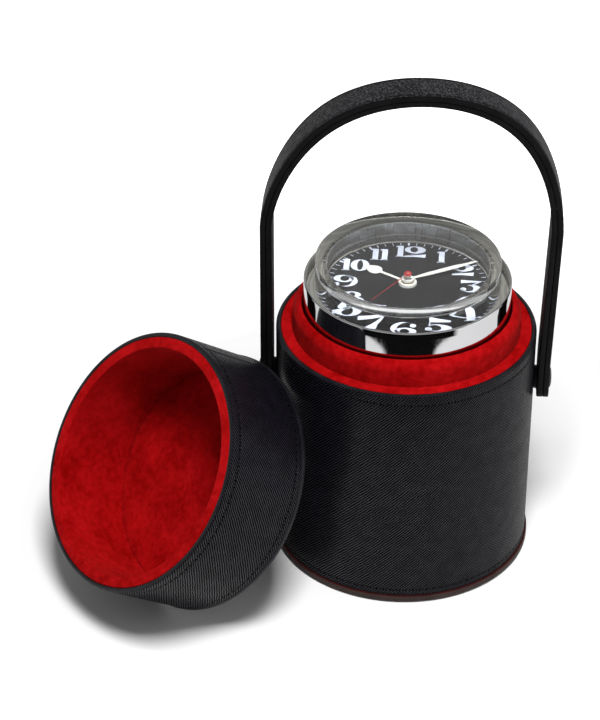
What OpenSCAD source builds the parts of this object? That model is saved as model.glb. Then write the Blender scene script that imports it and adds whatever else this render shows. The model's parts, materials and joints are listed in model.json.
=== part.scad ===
// Table clock in a round leather travel case with a strap handle.
// The lid is taken off and stands on its edge against the case.
// Millimetres, +Z up. The origin is the centre of the case's underside, and the
// side of the dial that carries the 6 faces -Y.

/* [Clock can] */
// Diameter of the polished steel can
clock_d = 83; // [78:0.1:100]
// Height of the can, from its flat foot to its open top edge
can_h = 100.4; // [80:0.1:125]
// Sheet thickness of the can
can_t = 1; // [0.8:0.1:1.4]
// Radius that rounds the bottom edge of the can
can_round = 3; // [1.5:0.5:5]
// Angle between the slanted foot and the flat foot
foot_angle = 38; // [30:1:42]
// How far the slanted foot climbs the front of the can
foot_rise = 19; // [10:1:24]
// Height of the ballast in the can
ballast_h = 24; // [15:1:35]

/* [Crystal] */
// How far the crystal stands out above the can's edge
crystal_rise = 8.55; // [7:0.05:12]
// Thickness of the crystal's foot, which fills the can's bore
foot_t = 1.8; // [1:0.1:3]
// How far the drum on that foot is set in from the side of the can
drum_step = 4.5; // [2:0.1:6]
// Wall of the drum round the hollow over the dial
drum_wall = 4.5; // [2:0.1:5.5]
// Thickness of the crystal over the hands
crystal_t = 5.8; // [3:0.1:6.5]
// Depth of the dial below the can's edge
dial_depth = 6.25; // [5:0.05:8]

/* [Dial and hands] */
// Thickness of the dial
dial_t = 0.8; // [0.5:0.1:1.2]
// How far the minute hand stops short of the wall of the hollow
hand_gap = 0.7; // [0.5:0.1:8]
// Length of the hour hand from the centre
hour_len = 21.5; // [16:0.5:23]
// Length of the seconds hand from the centre
seconds_len = 24.8; // [18:0.2:30]
// Width of the minute hand
minute_w = 2.2; // [1.2:0.1:3]
// Width of the leaf on the hour hand
leaf_w = 5.8; // [3:0.1:6.5]
// Direction of the minute hand, clockwise from the back
minute_dir = 60.9; // [0:0.1:360]
// Direction of the hour hand, clockwise from the back
hour_dir = 304; // [0:0.1:360]
// Direction of the seconds hand, clockwise from the back
seconds_dir = 214.5; // [0:0.1:360]

/* [Movement] */
// Side of the square movement housing
movement_w = 55; // [54:0.2:56]
// Depth of the movement housing
movement_h = 16; // [16:0.1:18]
// Wall of the movement housing
movement_t = 1.4; // [1:0.1:1.6]
// Thickness of the plate that carries the dial and the movement
plate_t = 1.2; // [0.8:0.1:1.6]
// Height of the ring that the plate rests on
seat_h = 3; // [2:0.1:4]
// Module of the wheels behind the dial
gear_m = 0.4; // [0.36:0.01:0.42]
// Teeth on the minute hand's pinion
cannon_teeth = 10; // [10:1:10]
// Teeth on the wheel that the pinion drives
motion_teeth = 30; // [30:1:30]
// Teeth on that wheel's own pinion
leaf_teeth = 8; // [8:1:8]
// Teeth on the hour wheel
hour_teeth = 32; // [32:1:32]
// Radius of the seconds arbor
seconds_r = 0.6; // [0.5:0.05:0.7]
// Wall of the pipes that carry the minute and hour hands
pipe_t = 0.95; // [0.8:0.05:1]
// Radial clearance of a shaft or a pipe in its bore
running = 0.05; // [0.02:0.01:0.08]
// Radius of the setting knob
knob_r = 5; // [4:0.1:6]
// Radius of the battery
battery_r = 7.1; // [7:0.05:7.15]
// Length of the battery
battery_len = 49; // [48:0.1:49.5]

/* [Case] */
// Height of the tube that lifts the clock above the bottom board
shelf_lift = 13.45; // [8:0.05:30]
// How far the inner collar stands above the rim
neck_rise = 10.6; // [8:0.1:16]
// How far the can shows above the collar
can_show = 11.05; // [6:0.05:14]
// Gap between the can and the lining of the collar
clock_gap = 0.7; // [0.4:0.1:1.5]
// Thickness of the suede lining
suede_t = 0.7; // [0.5:0.1:1.2]
// Thickness of the collar's board
neck_t = 1.9; // [1.5:0.1:3]
// Thickness of the wall's board
wall_t = 4.65; // [3.5:0.05:6]
// Thickness of the leather
leather_t = 1.9; // [1.2:0.1:2.4]
// Glue line between parts that wrap round each other
glue = 0.1; // [0.05:0.01:0.15]
// How far the base stands out past the wall
base_lip = 0.85; // [0:0.05:2]
// Thickness of the base
base_t = 2.6; // [2:0.1:4]
// Thickness of the pad under the base
pad_t = 0.6; // [0.4:0.1:1.5]
// Thickness of the boards that close the case and carry the clock
board_t = 2.6; // [2:0.1:3.5]

/* [Lid] */
// Room left over the crystal when the lid is on
lid_room = 5.2; // [2:0.1:20]
// Gap between the lid's lining and the collar
lid_gap = 0.4; // [0.2:0.05:1]
// Thickness of the leather disc on the lid
top_t = 2.2; // [1.5:0.1:3]
// How far that disc stands out past the lid's wall
top_lip = 0.35; // [0:0.05:1.5]
// Tilt of the lid's axis away from upright, as it stands against the case
lid_tilt = 125; // [118:0.5:132]
// Compass turn of the lid's axis
lid_turn = 36.9; // [30:0.1:44]
// Bearing of the lid's closed end, seen from the case
lid_bearing = 203; // [198:0.1:208]
// Gap left where the lid leans on the case
lean_gap = 0.35; // [0.25:0.05:1]

/* [Handle] */
// Width of the strap
strap_w = 16; // [12:0.5:22]
// Thickness of the folded strap
strap_t = 4.7; // [3:0.1:6]
// Space between the case and the ends of the strap
strap_gap = 1.25; // [1.2:0.05:2.5]
// How far the rivets sit below the rim
pivot_drop = 23.9; // [16:0.1:36]
// Room for a hand between the crystal and the strap
hand_room = 71.8; // [56:0.1:110]
// How far the arch bulges out past the strap's ends
arch_bulge = 0.85; // [0:0.05:3]
// How far the arch leans to the right
arch_lean = 0.8; // [0:0.1:2]
// Length of strap below the rivet
strap_end = 6.8; // [6:0.1:12]
// Radius that rounds the corners of the strap's ends
end_round = 5; // [2:0.5:7]
// Radius of the rivet's shank
rivet_r = 2; // [1.5:0.1:2.5]
// Radius of the rivet's head
rivet_head_r = 4.2; // [3.5:0.1:5]

/* [Hidden] */
$fn = 96;

// Heights of the case and the clock, from the surface upwards
wall_z = pad_t + base_t;
floor_z = wall_z + board_t;
shelf_z = floor_z + shelf_lift + board_t;
clock_z = shelf_z + suede_t;
can_top = clock_z + can_h;
neck_z = can_top - can_show;
rim_z = neck_z - neck_rise;
dial_z = can_top - dial_depth;
drum_z = can_top + crystal_rise;

// Radii of the clock
can_r = clock_d / 2;
can_ir = can_r - can_t;
drum_r = can_r - drum_step;
hollow_r = drum_r - drum_wall;
minute_len = hollow_r - hand_gap;

// Radii of the case, from the clock outwards
lining_ir = can_r + clock_gap;
neck_ir = lining_ir + suede_t + glue;
neck_or = neck_ir + neck_t;
collar_r = neck_or + glue + suede_t;
crown_r = 2 * (collar_r - lining_ir) - 3 * suede_t;
crown = [collar_r - crown_r, neck_z - suede_t - (crown_r - suede_t) * sin(60)];
wall_ir = collar_r + glue;
wall_or = wall_ir + wall_t;
case_r = wall_or + glue + leather_t;
base_r = case_r + base_lip;
edge_r = 1.1;

// Radii and heights of the lid, in its own frame: mouth at 0, closed end up
lid_ir = collar_r + lid_gap;
lid_wall_ir = lid_ir + suede_t + glue;
lid_board_z = drum_z - rim_z + lid_room + suede_t;
lid_h = lid_board_z + board_t + glue + top_t;
lid_end_r = case_r + top_lip;

// The strap
leg_out = case_r + strap_gap + strap_t;
arch_r = leg_out + arch_bulge;
arch_z = drum_z + hand_room + strap_t - arch_r;
pivot_z = rim_z - pivot_drop;
knee_z = pivot_z + 10;
layer_t = (strap_t - glue) / 2;
bore_play = 0.08;

// The movement, from the dial backwards
plate_z = dial_z - dial_t - plate_t;
movement_z = plate_z - movement_h;
ceiling_z = plate_z - movement_t;
half_w = movement_w / 2;
inner_w = half_w - movement_t;
corner_r = 4;
post_at = inner_w - 4.2;
post_r = 2;
screw_r = 0.9;
rib_y = 2 * battery_r + 1.1 - (inner_w - 1.1);
cover_t = 1.4;
cover_z = movement_z + 0.2;
minute_ir = seconds_r + running;
minute_or = minute_ir + pipe_t;
hour_ir = minute_or + running;
hour_or = hour_ir + pipe_t;
bush_ir = hour_or + running;
bush_or = bush_ir + 0.9;
gear_axis = gear_m * (cannon_teeth + motion_teeth) / 2;
hour_wheel_z = ceiling_z - 2.1;
hour_wheel_t = 1.2;
motion_z = ceiling_z - 4.5;
motion_t = 1.4;
cannon_z = ceiling_z - 4.7;
cannon_t = 1.8;
module_top = ceiling_z - 5.4;
module_z = cover_z + cover_t + 0.1;
module_w = 33;
arbor_r = 0.8;
knob_z = movement_z - 3.4;
knob_skin = 0.6;
coil_y = 19;
coil_z = module_z + 4.3;

// Points of an arc about a centre
function arc(centre, r, from, to, steps) =
    [for (i = [0 : steps]) centre + r * [cos(from + (to - from) * i / steps), sin(from + (to - from) * i / steps)]];

// A ring from one radius to another
module ring(inner, outer, low, high) {
    translate([0, 0, low])
        difference() {
            cylinder(r = outer, h = high - low);
            translate([0, 0, -1])
                cylinder(r = inner, h = high - low + 2);
        }
}

module disc(r, low, high) {
    translate([0, 0, low])
        cylinder(r = r, h = high - low);
}

// A disc whose two edges are rounded
module soft_disc(r, low, high, soft) {
    outline = concat([[0, low]], arc([r - soft, low + soft], soft, -90, 0, 4),
                     arc([r - soft, high - soft], soft, 0, 90, 4), [[0, high]]);
    rotate_extrude()
        polygon(outline);
}

// Something on each side of the case, at the height of the rivets
module both_sides() {
    for (side = [0, 180])
        rotate([0, 0, side])
            translate([0, 0, pivot_z])
                rotate([0, 90, 0])
                    children();
}

// Case

module base_pad() {
    color("#2a2826")
        disc(base_r - 1.5, 0, pad_t);
}

module base_plate() {
    color("#6e655c")
        soft_disc(base_r, pad_t, wall_z, 0.6);
}

module bottom_board() {
    color("#8d8577")
        disc(wall_ir - glue, wall_z, floor_z);
}

module case_wall() {
    color("#8d8577")
        difference() {
            ring(wall_ir, wall_or, wall_z, rim_z - suede_t);
            both_sides()
                cylinder(r = rivet_r + glue, h = case_r);
            both_sides()
                cylinder(r = rivet_head_r + glue, h = wall_ir + 1.7);
        }
}

module case_leather() {
    inner = wall_or + glue;
    outline = concat([[inner, wall_z], [case_r, wall_z]],
                     arc([case_r - edge_r, rim_z - edge_r], edge_r, 0, 90, 5),
                     [[inner + 0.3, rim_z], [inner, rim_z - 0.3]]);
    color("#1e1c22")
        difference() {
            rotate_extrude()
                polygon(outline);
            both_sides()
                cylinder(r = rivet_r + glue, h = case_r + 1);
        }
}

module rim_ring() {
    color("#be262a")
        ring(wall_ir, wall_or, rim_z - suede_t, rim_z);
}

// The top of the collar falls away outwards in a round curve
module neck_board() {
    bend = crown_r - suede_t - glue;
    outline = concat([[neck_or, floor_z], [neck_ir, floor_z]],
                     arc(crown, bend, acos((neck_ir - crown.x) / bend), 0, 8));
    color("#8d8577")
        rotate_extrude()
            polygon(outline);
}

// The suede goes up inside the collar, over its crown and down behind the rim
module neck_lining() {
    tuck_z = rim_z - 12;
    outline = concat([[neck_ir - glue, floor_z], [lining_ir, floor_z]],
                     arc([neck_ir - glue, neck_z - suede_t], suede_t, 180, 75, 5),
                     arc(crown, crown_r, 60, 0, 8),
                     [[collar_r, tuck_z], [neck_or + glue, tuck_z]],
                     arc(crown, crown_r - suede_t, 0, 60, 8));
    color("#a80f12")
        rotate_extrude()
            polygon(outline);
}

module seat_tube() {
    color("#8d8577")
        ring(lining_ir - 4, lining_ir - glue, floor_z, shelf_z - board_t);
}

module floor_board() {
    color("#8d8577")
        disc(lining_ir - glue, shelf_z - board_t, shelf_z);
}

module floor_lining() {
    color("#a80f12")
        disc(lining_ir - glue, shelf_z, clock_z);
}

// Shank, domed head outside the strap and a small flange inside the wall
module handle_rivets() {
    head_x = leg_out + 0.15;
    tail_x = wall_ir + 0.1;
    dome = concat([[0, head_x], [rivet_head_r, head_x]],
                  [for (a = [0 : 15 : 90]) [rivet_head_r * cos(a), head_x + 0.4 + 0.7 * sin(a)]]);
    color("#2b2b2e")
        both_sides() {
            translate([0, 0, tail_x])
                cylinder(r = rivet_r, h = head_x + 0.2 - tail_x);
            translate([0, 0, tail_x])
                cylinder(r = rivet_r + 0.8, h = 0.3);
            rotate_extrude()
                polygon(dome);
        }
}

module rivet_washers() {
    color("#b08d57")
        both_sides()
            ring(rivet_r + bore_play, rivet_head_r - 0.3, wall_ir + 0.5, wall_ir + 1.6);
}

module strap_spacers() {
    color("#1b1a1e")
        both_sides()
            ring(rivet_r + bore_play, rivet_head_r + 0.6, case_r + glue, case_r + strap_gap - 0.25);
}

// Handle

// One layer of the strap: two legs and an arch between an outer and an inner offset
module strap_layer(out, in) {
    difference() {
        rotate([90, 0, 0])
            union() {
                translate([arch_lean, arch_z, 0])
                    rotate_extrude(angle = 180)
                        translate([arch_r - in, -strap_w / 2])
                            square([in - out, strap_w]);
                translate([0, 0, -strap_w / 2])
                    linear_extrude(height = strap_w)
                        for (side = [-1, 1])
                            polygon([
                                [side * (leg_out - out), pivot_z - strap_end],
                                [side * (leg_out - out), knee_z],
                                [arch_lean + side * (arch_r - out), arch_z],
                                [arch_lean + side * (arch_r - in), arch_z],
                                [side * (leg_out - in), knee_z],
                                [side * (leg_out - in), pivot_z - strap_end]
                            ]);
            }
        both_sides()
            cylinder(r = rivet_r + bore_play, h = leg_out + 5);
        end_corners();
    }
}

// What is cut off to round the corners of both ends
module end_corners() {
    reach = leg_out + 5;
    for (side = [0, 1])
        mirror([0, side, 0])
            translate([-reach, strap_w / 2 - end_round, pivot_z - strap_end + end_round])
                rotate([0, 90, 0])
                    difference() {
                        cube([2 * end_round, 2 * end_round, 2 * reach]);
                        cylinder(r = end_round, h = 2 * reach);
                    }
}

module strap_outer() {
    color("#26252a")
        strap_layer(0, layer_t);
}

module strap_inner() {
    color("#1b1a1e")
        strap_layer(layer_t + glue, strap_t);
}

// Lid

lid_axis = [sin(lid_tilt) * cos(lid_turn), sin(lid_tilt) * sin(lid_turn), cos(lid_tilt)];
lid_level = [-sin(lid_turn), cos(lid_turn), 0];
lid_steep = cross(lid_axis, lid_level);
lid_end_z = lid_end_r * sin(lid_tilt);

function lid_end(distance) = [distance * cos(lid_bearing), distance * sin(lid_bearing), lid_end_z];

// Distance from the case's axis to the nearest point on the edge of the lid's closed end
function lid_reach(distance) =
    min([for (t = [0 : 359])
        let (p = lid_end(distance) + lid_end_r * (cos(t) * lid_level + sin(t) * lid_steep)) norm([p.x, p.y])]);

// The distance at which that edge just clears the case, by halving
function lid_stand(low, high, steps) =
    let (middle = (low + high) / 2)
    steps == 0 ? middle
    : lid_reach(middle) < case_r + lean_gap ? lid_stand(middle, high, steps - 1)
    : lid_stand(low, middle, steps - 1);

lid_mouth = lid_end(lid_stand(0, 4 * case_r, 24)) - lid_h * lid_axis;

// Stands the lid on its edge against the case
module as_it_stands() {
    translate(lid_mouth)
        rotate([0, lid_tilt, lid_turn])
            children();
}

module lid_wall() {
    color("#8d8577")
        as_it_stands()
            ring(lid_wall_ir, wall_or, suede_t, lid_board_z);
}

module lid_leather() {
    inner = wall_or + glue;
    outline = concat([[inner, 0.3], [inner + 0.3, 0]],
                     arc([case_r - edge_r, edge_r], edge_r, -90, 0, 5),
                     [[case_r, lid_h - top_t], [inner, lid_h - top_t]]);
    color("#1e1c22")
        as_it_stands()
            rotate_extrude()
                polygon(outline);
}

module lid_board() {
    color("#8d8577")
        as_it_stands()
            disc(wall_or, lid_board_z, lid_h - top_t - glue);
}

module lid_top() {
    color("#26242a")
        as_it_stands()
            soft_disc(lid_end_r, lid_h - top_t, lid_h, 0.6);
}

module lid_lining() {
    color("#b01216")
        as_it_stands()
            ring(lid_ir, lid_ir + suede_t, suede_t, lid_board_z);
}

module lid_floor() {
    color("#b01216")
        as_it_stands()
            disc(lid_ir - glue, lid_board_z - suede_t, lid_board_z);
}

module lid_ring() {
    color("#be262a")
        as_it_stands()
            ring(lid_ir, wall_or, 0, suede_t);
}

// Clock body

// Solid shape of the can, drawn in by an inset on every side but the top, whose edge is rounded
module can_shape(inset) {
    r = can_r - inset;
    soft = can_round - inset;
    top_r = 0.4 * can_t;
    difference() {
        rotate_extrude()
            polygon(concat([[0, clock_z + inset]],
                           arc([r - soft, clock_z + inset + soft], soft, -90, 0, 5),
                           inset > 0 ? [[r, can_top]] : arc([r - top_r, can_top - top_r], top_r, 0, 90, 3),
                           [[0, can_top]]));
        translate([0, -can_r, clock_z + foot_rise])
            rotate([-foot_angle, 0, 0])
                translate([-clock_d, -clock_d, -clock_d])
                    cube([2 * clock_d, 3 * clock_d, clock_d + inset]);
    }
}

module can() {
    color("#c9cbcf")
        difference() {
            can_shape(0);
            can_shape(can_t);
        }
}

module ballast() {
    color("#5a5c60")
        intersection() {
            can_shape(can_t + glue);
            disc(can_r, clock_z, clock_z + can_t + ballast_h);
        }
}

module seat_ring() {
    color("#b4b6ba")
        ring(can_ir - 2.3, can_ir - glue, plate_z - seat_h, plate_z);
}

module dial_plate() {
    color("#b4b6ba")
        difference() {
            disc(can_ir - glue, plate_z, plate_z + plate_t);
            disc(bush_or + glue, plate_z - 1, plate_z + plate_t + 1);
            four_posts(post_at)
                translate([0, 0, plate_z - 1])
                    cylinder(r = screw_r + glue, h = plate_t + 2);
            four_posts(post_at)
                translate([0, 0, plate_z + plate_t - 0.9])
                    cylinder(r = 2 * screw_r + glue, h = 1);
        }
}

module dial() {
    color("#1c1d20")
        ring(bush_or + glue, can_ir - glue, dial_z - dial_t, dial_z);
}

module dial_gasket() {
    color("#151515")
        ring(hollow_r + 2, can_ir - 4 * glue, dial_z, dial_z + 0.3);
}

// A hollow drum on a wide foot: the foot fills the can's bore and leaves a groove round the drum
module crystal() {
    foot_r = can_ir - 2 * glue;
    foot_z = dial_z + 0.3;
    groove_z = foot_z + foot_t;
    soft = 0.4;
    outline = concat([[hollow_r, foot_z + 0.5], [hollow_r + 0.5, foot_z], [foot_r, foot_z]],
                     [[foot_r, groove_z - 0.2], [foot_r - 0.2, groove_z]],
                     arc([drum_r + soft, groove_z + soft], soft, -90, -180, 3),
                     arc([drum_r - soft, drum_z - soft], soft, 0, 90, 3),
                     [[0, drum_z], [0, drum_z - crystal_t], [hollow_r, drum_z - crystal_t]]);
    color("#e6ecf0", 0.45)
        rotate_extrude()
            polygon(outline);
}

// Movement

module four_posts(at) {
    for (x = [-at, at])
        for (y = [rib_y + 3.3, at])
            translate([x, y, 0])
                children();
}

module rounded_block(half, low, high, r) {
    translate([0, 0, low])
        union() {
            translate([-half + r, -half, 0])
                cube([2 * (half - r), 2 * half, high - low]);
            translate([-half, -half + r, 0])
                cube([2 * half, 2 * (half - r), high - low]);
            for (x = [-1, 1])
                for (y = [-1, 1])
                    translate([x * (half - r), y * (half - r), 0])
                        cylinder(r = r, h = high - low);
        }
}

// Housing open at the back: one bay for the wheels and one for the battery
module movement_case() {
    color("#ecebe6")
        difference() {
            union() {
                difference() {
                    rounded_block(half_w, movement_z, plate_z, corner_r);
                    translate([-inner_w, rib_y + 0.7, movement_z - 1])
                        cube([2 * inner_w, inner_w - rib_y - 0.7 - 2.2, ceiling_z - movement_z + 1]);
                    translate([-inner_w + 2.2, rib_y + 0.7, movement_z - 1])
                        cube([2 * inner_w - 4.4, inner_w - rib_y - 0.7, ceiling_z - movement_z + 1]);
                    translate([-inner_w, rib_y - 0.7 - 2 * battery_r - 0.4, movement_z - 1])
                        cube([2 * inner_w, 2 * battery_r + 0.4, ceiling_z - movement_z + 1]);
                }
                disc(bush_or, ceiling_z, dial_z + 0.2);
                four_posts(post_at)
                    translate([0, 0, cover_z + cover_t])
                        cylinder(r = post_r, h = ceiling_z - cover_z - cover_t + 0.1);
            }
            disc(bush_ir, ceiling_z - 1, dial_z + 1);
            translate([0, gear_axis, ceiling_z - 1])
                cylinder(r = arbor_r + running, h = 1.9);
            four_posts(post_at)
                translate([0, 0, movement_z])
                    cylinder(r = screw_r + 0.02, h = movement_h + 1);
        }
}

module movement_cover() {
    low_y = rib_y + 0.9;
    color("#ecebe6")
        difference() {
            translate([-inner_w + 0.2, low_y, cover_z])
                cube([2 * inner_w - 0.4, inner_w - 2.4 - low_y, cover_t]);
            translate([0, gear_axis, cover_z - 1])
                cylinder(r = arbor_r + running, h = cover_t + 2);
            four_posts(post_at)
                translate([0, 0, cover_z - 1])
                    cylinder(r = screw_r + 0.02, h = cover_t + 2);
        }
}

module screw(head_z, reach) {
    translate([0, 0, min(head_z, head_z - reach)])
        cylinder(r = screw_r, h = abs(reach));
    translate([0, 0, reach > 0 ? head_z - 0.1 : head_z - 0.7])
        cylinder(r = 2 * screw_r, h = 0.8);
}

module plate_screws() {
    color("#c2a15a")
        four_posts(post_at)
            screw(plate_z + plate_t - 0.8, 5);
}

module cover_screws() {
    color("#c2a15a")
        four_posts(post_at)
            screw(cover_z - 0.1, -6);
}

// Closed block that holds the stepping motor and its train
module drive_module() {
    reach_y = gear_axis - arbor_r - 1.4;
    color("#f2f2ee")
        difference() {
            union() {
                translate([-module_w / 2, rib_y + 1.1, module_z])
                    cube([module_w, reach_y - rib_y - 1.1, module_top - module_z]);
                disc(minute_or + 0.6, module_top - 1, cannon_z - 0.2);
            }
            disc(seconds_r + running, module_top - 5, module_top + 2);
        }
}

module stator() {
    color("#8f9296")
        translate([0, 0, coil_z - 0.6]) {
            for (side = [-1, 1])
                translate([side * 14 - 1.5, gear_axis - arbor_r - 1.3, 0])
                    cube([3, coil_y + 2 - gear_axis + arbor_r, 1.2]);
            translate([-15.5, coil_y - 1.5, 0])
                cube([31, 3, 1.2]);
        }
}

module coil() {
    color("#a4552a")
        difference() {
            union() {
                translate([-9.5, coil_y, coil_z])
                    rotate([0, 90, 0])
                        cylinder(r = 3.6, h = 19);
                for (x = [-10.3, 9.3])
                    translate([x, coil_y - 4, coil_z - 4])
                        cube([1, 8, 8]);
            }
            translate([-12, coil_y - 1.6, coil_z - 0.7])
                cube([24, 3.2, 1.4]);
        }
}

module circuit_board() {
    color("#2f6b3d")
        translate([module_w / 2 + 0.4, rib_y + 3.3 + post_r + 0.3, module_top - 2])
            cube([inner_w - module_w / 2 - 0.7, post_at - rib_y - 3.3 - 2 * post_r - 0.6, 0.9]);
}

module quartz_can() {
    color("#c9cbcf")
        translate([post_at, 4, module_top - 1.1 + 1.4])
            rotate([-90, 0, 0])
                cylinder(r = 1.4, h = 6);
}

module battery() {
    color("#7d8288")
        translate([-battery_len / 2 - 0.3, rib_y - 0.9 - battery_r, ceiling_z - battery_r - 0.1])
            rotate([0, 90, 0]) {
                cylinder(r = battery_r, h = battery_len);
                cylinder(r = 2.7, h = battery_len + 0.9);
            }
}

module battery_contacts() {
    middle_y = rib_y - 0.9 - battery_r;
    middle_z = ceiling_z - battery_r - 0.1;
    color("#c9cbcf")
        for (side = [-1, 1])
            translate([side > 0 ? inner_w - 0.5 : -inner_w + 0.1, middle_y - 4, middle_z - 5])
                cube([0.4, 8, 10]);
}

// Wheels and hands

// One tooth of a clock wheel: straight flanks up to the pitch circle and a pointed arch above it,
// as [share of the tooth pitch, height over the pitch circle in modules]
tooth = [[-0.3, -1.25], [-0.19, 0], [-0.11, 0.55], [0, 0.8], [0.11, 0.55], [0.19, 0], [0.3, -1.25]];

// Outline of a wheel with one tooth centred on the phase
function gear_points(teeth, phase) =
    [for (i = [0 : teeth - 1])
        for (p = tooth)
            let (a = phase + 360 / teeth * (i + p[0]), r = gear_m * (teeth / 2 + p[1]))
            [r * cos(a), r * sin(a)]];

module gear(teeth, phase, low, thick, bore) {
    translate([0, 0, low])
        difference() {
            linear_extrude(height = thick)
                polygon(gear_points(teeth, phase));
            translate([0, 0, -1])
                cylinder(r = bore, h = thick + 2);
        }
}

module cannon_pinion() {
    color("#c2a15a") {
        gear(cannon_teeth, 90, cannon_z, cannon_t, minute_ir);
        ring(minute_ir, minute_or, cannon_z + cannon_t, dial_z + 2.65);
    }
}

module hour_wheel() {
    color("#c2a15a") {
        gear(hour_teeth, 90 + 180 / hour_teeth, hour_wheel_z, hour_wheel_t, hour_ir);
        ring(hour_ir, hour_or, hour_wheel_z + hour_wheel_t, dial_z + 1.3);
    }
}

module motion_wheel() {
    pinion_z = motion_z + motion_t;
    color("#c2a15a")
        translate([0, gear_axis, 0]) {
            gear(motion_teeth, 270 + 180 / motion_teeth, motion_z, motion_t, arbor_r);
            gear(leaf_teeth, 270, pinion_z, ceiling_z - 0.4 - pinion_z, arbor_r);
            disc(arbor_r, knob_z + knob_skin, ceiling_z + 0.7);
        }
}

module setting_knob() {
    flutes = 18;
    color("#d8d6cf")
        translate([0, gear_axis, knob_z])
            difference() {
                cylinder(r = knob_r, h = 3);
                for (i = [0 : flutes - 1])
                    rotate([0, 0, 360 / flutes * i])
                        translate([knob_r + 0.1, 0, -1])
                            cylinder(r = 0.5, h = 5);
                translate([0, 0, knob_skin])
                    cylinder(r = arbor_r + 0.01, h = 5);
            }
}

module seconds_arbor() {
    color("#c9cbcf")
        disc(seconds_r, module_top - 4.8, dial_z + 4.9);
}

// Turns an outline that points to the back into a hand's direction
module hand(direction, low, thick) {
    translate([0, 0, low])
        rotate([0, 0, -direction])
            linear_extrude(height = thick)
                children();
}

// Outline of a hand from its half widths: a stem, a swell up to the belly and a taper to the tip.
// The swell starts at one share of the length and the belly is at another.
function hand_points(len, stem, belly, from, at, bend) =
    let (tip = 0.15,
         wide = function (t) t < from ? stem
             : t < at ? stem + (belly - stem) * sin(90 * (t - from) / (at - from))
             : tip + (belly - tip) * (1 - pow(sin(90 * (t - at) / (1 - at)), bend)),
         side = [for (i = [0 : 24]) [wide(i / 24), len * i / 24]])
    concat(side, [for (i = [24 : -1 : 0]) [-side[i].x, side[i].y]]);

// Slender leaf with a point
module minute_hand() {
    color("#f4f4f4")
        difference() {
            union() {
                hand(minute_dir, dial_z + 2, 0.4)
                    polygon(hand_points(minute_len, 0.55, minute_w / 2, 0.1, 0.62, 1.6));
                disc(2.5, dial_z + 1.8, dial_z + 2.6);
            }
            disc(minute_or + 0.01, dial_z, dial_z + 4);
        }
}

// Thin stem, broad round leaf and a pointed tip
module hour_hand() {
    color("#f4f4f4")
        difference() {
            union() {
                hand(hour_dir, dial_z + 0.6, 0.4)
                    polygon(hand_points(hour_len, 0.6, leaf_w / 2, 0.54, 0.73, 0.9));
                disc(3.65, dial_z + 0.5, dial_z + 1.2);
            }
            disc(hour_or + 0.01, dial_z, dial_z + 4);
        }
}

module seconds_hand() {
    color("#c8332b")
        difference() {
            union() {
                hand(seconds_dir, dial_z + 4.5, 0.3)
                    polygon([[-0.18, 0], [-0.1, seconds_len], [0.1, seconds_len], [0.18, 0]]);
                disc(1.85, dial_z + 4.3, dial_z + 5);
            }
            disc(seconds_r + 0.01, dial_z + 3, dial_z + 4.9);
        }
}

base_pad();
base_plate();
bottom_board();
case_wall();
case_leather();
rim_ring();
neck_board();
neck_lining();
seat_tube();
floor_board();
floor_lining();
handle_rivets();
rivet_washers();
strap_spacers();
strap_outer();
strap_inner();
lid_wall();
lid_leather();
lid_board();
lid_top();
lid_lining();
lid_floor();
lid_ring();
can();
ballast();
seat_ring();
dial_plate();
dial();
dial_gasket();
crystal();
movement_case();
movement_cover();
plate_screws();
cover_screws();
drive_module();
stator();
coil();
circuit_board();
quartz_can();
battery();
battery_contacts();
cannon_pinion();
minute_hand();
hour_wheel();
hour_hand();
motion_wheel();
setting_knob();
seconds_arbor();
seconds_hand();
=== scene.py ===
import json
import math
import bpy
import numpy as np
from mathutils import Matrix


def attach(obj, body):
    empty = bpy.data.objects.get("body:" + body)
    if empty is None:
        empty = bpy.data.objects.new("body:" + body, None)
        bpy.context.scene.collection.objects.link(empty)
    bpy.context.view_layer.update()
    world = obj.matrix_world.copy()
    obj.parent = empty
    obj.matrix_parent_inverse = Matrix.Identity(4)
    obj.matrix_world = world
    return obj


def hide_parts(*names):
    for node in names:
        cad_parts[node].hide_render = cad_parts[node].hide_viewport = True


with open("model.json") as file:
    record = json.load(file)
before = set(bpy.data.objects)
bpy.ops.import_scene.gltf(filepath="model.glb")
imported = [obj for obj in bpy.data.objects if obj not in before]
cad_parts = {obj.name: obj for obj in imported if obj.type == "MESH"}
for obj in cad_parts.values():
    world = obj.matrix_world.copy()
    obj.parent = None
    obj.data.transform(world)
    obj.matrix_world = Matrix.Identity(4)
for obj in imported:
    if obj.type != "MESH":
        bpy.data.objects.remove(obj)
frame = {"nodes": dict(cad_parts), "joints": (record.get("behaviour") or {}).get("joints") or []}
nodes = frame["nodes"]
joints = {j["name"]: j for j in frame["joints"]}
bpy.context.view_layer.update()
mm = 0.001
print("frame loaded,", len(nodes), "nodes")

# Shader maths


class Wire:  # a socket whose operators add Math nodes
    def __init__(self, graph, socket):
        self.graph = graph
        self.socket = socket

    def math(self, operation, *others):
        return self.graph.add("Math", {"operation": operation}, [self, *others])

    def __add__(self, other):
        return self.math("ADD", other)

    def __sub__(self, other):
        return self.math("SUBTRACT", other)

    def __mul__(self, other):
        return self.math("MULTIPLY", other)

    def __truediv__(self, other):
        return self.math("DIVIDE", other)

    def __pow__(self, other):
        return self.math("POWER", other)

    def __rsub__(self, other):
        return self.graph.add("Math", {"operation": "SUBTRACT"}, [other, self])

    __radd__ = __add__
    __rmul__ = __mul__


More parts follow.
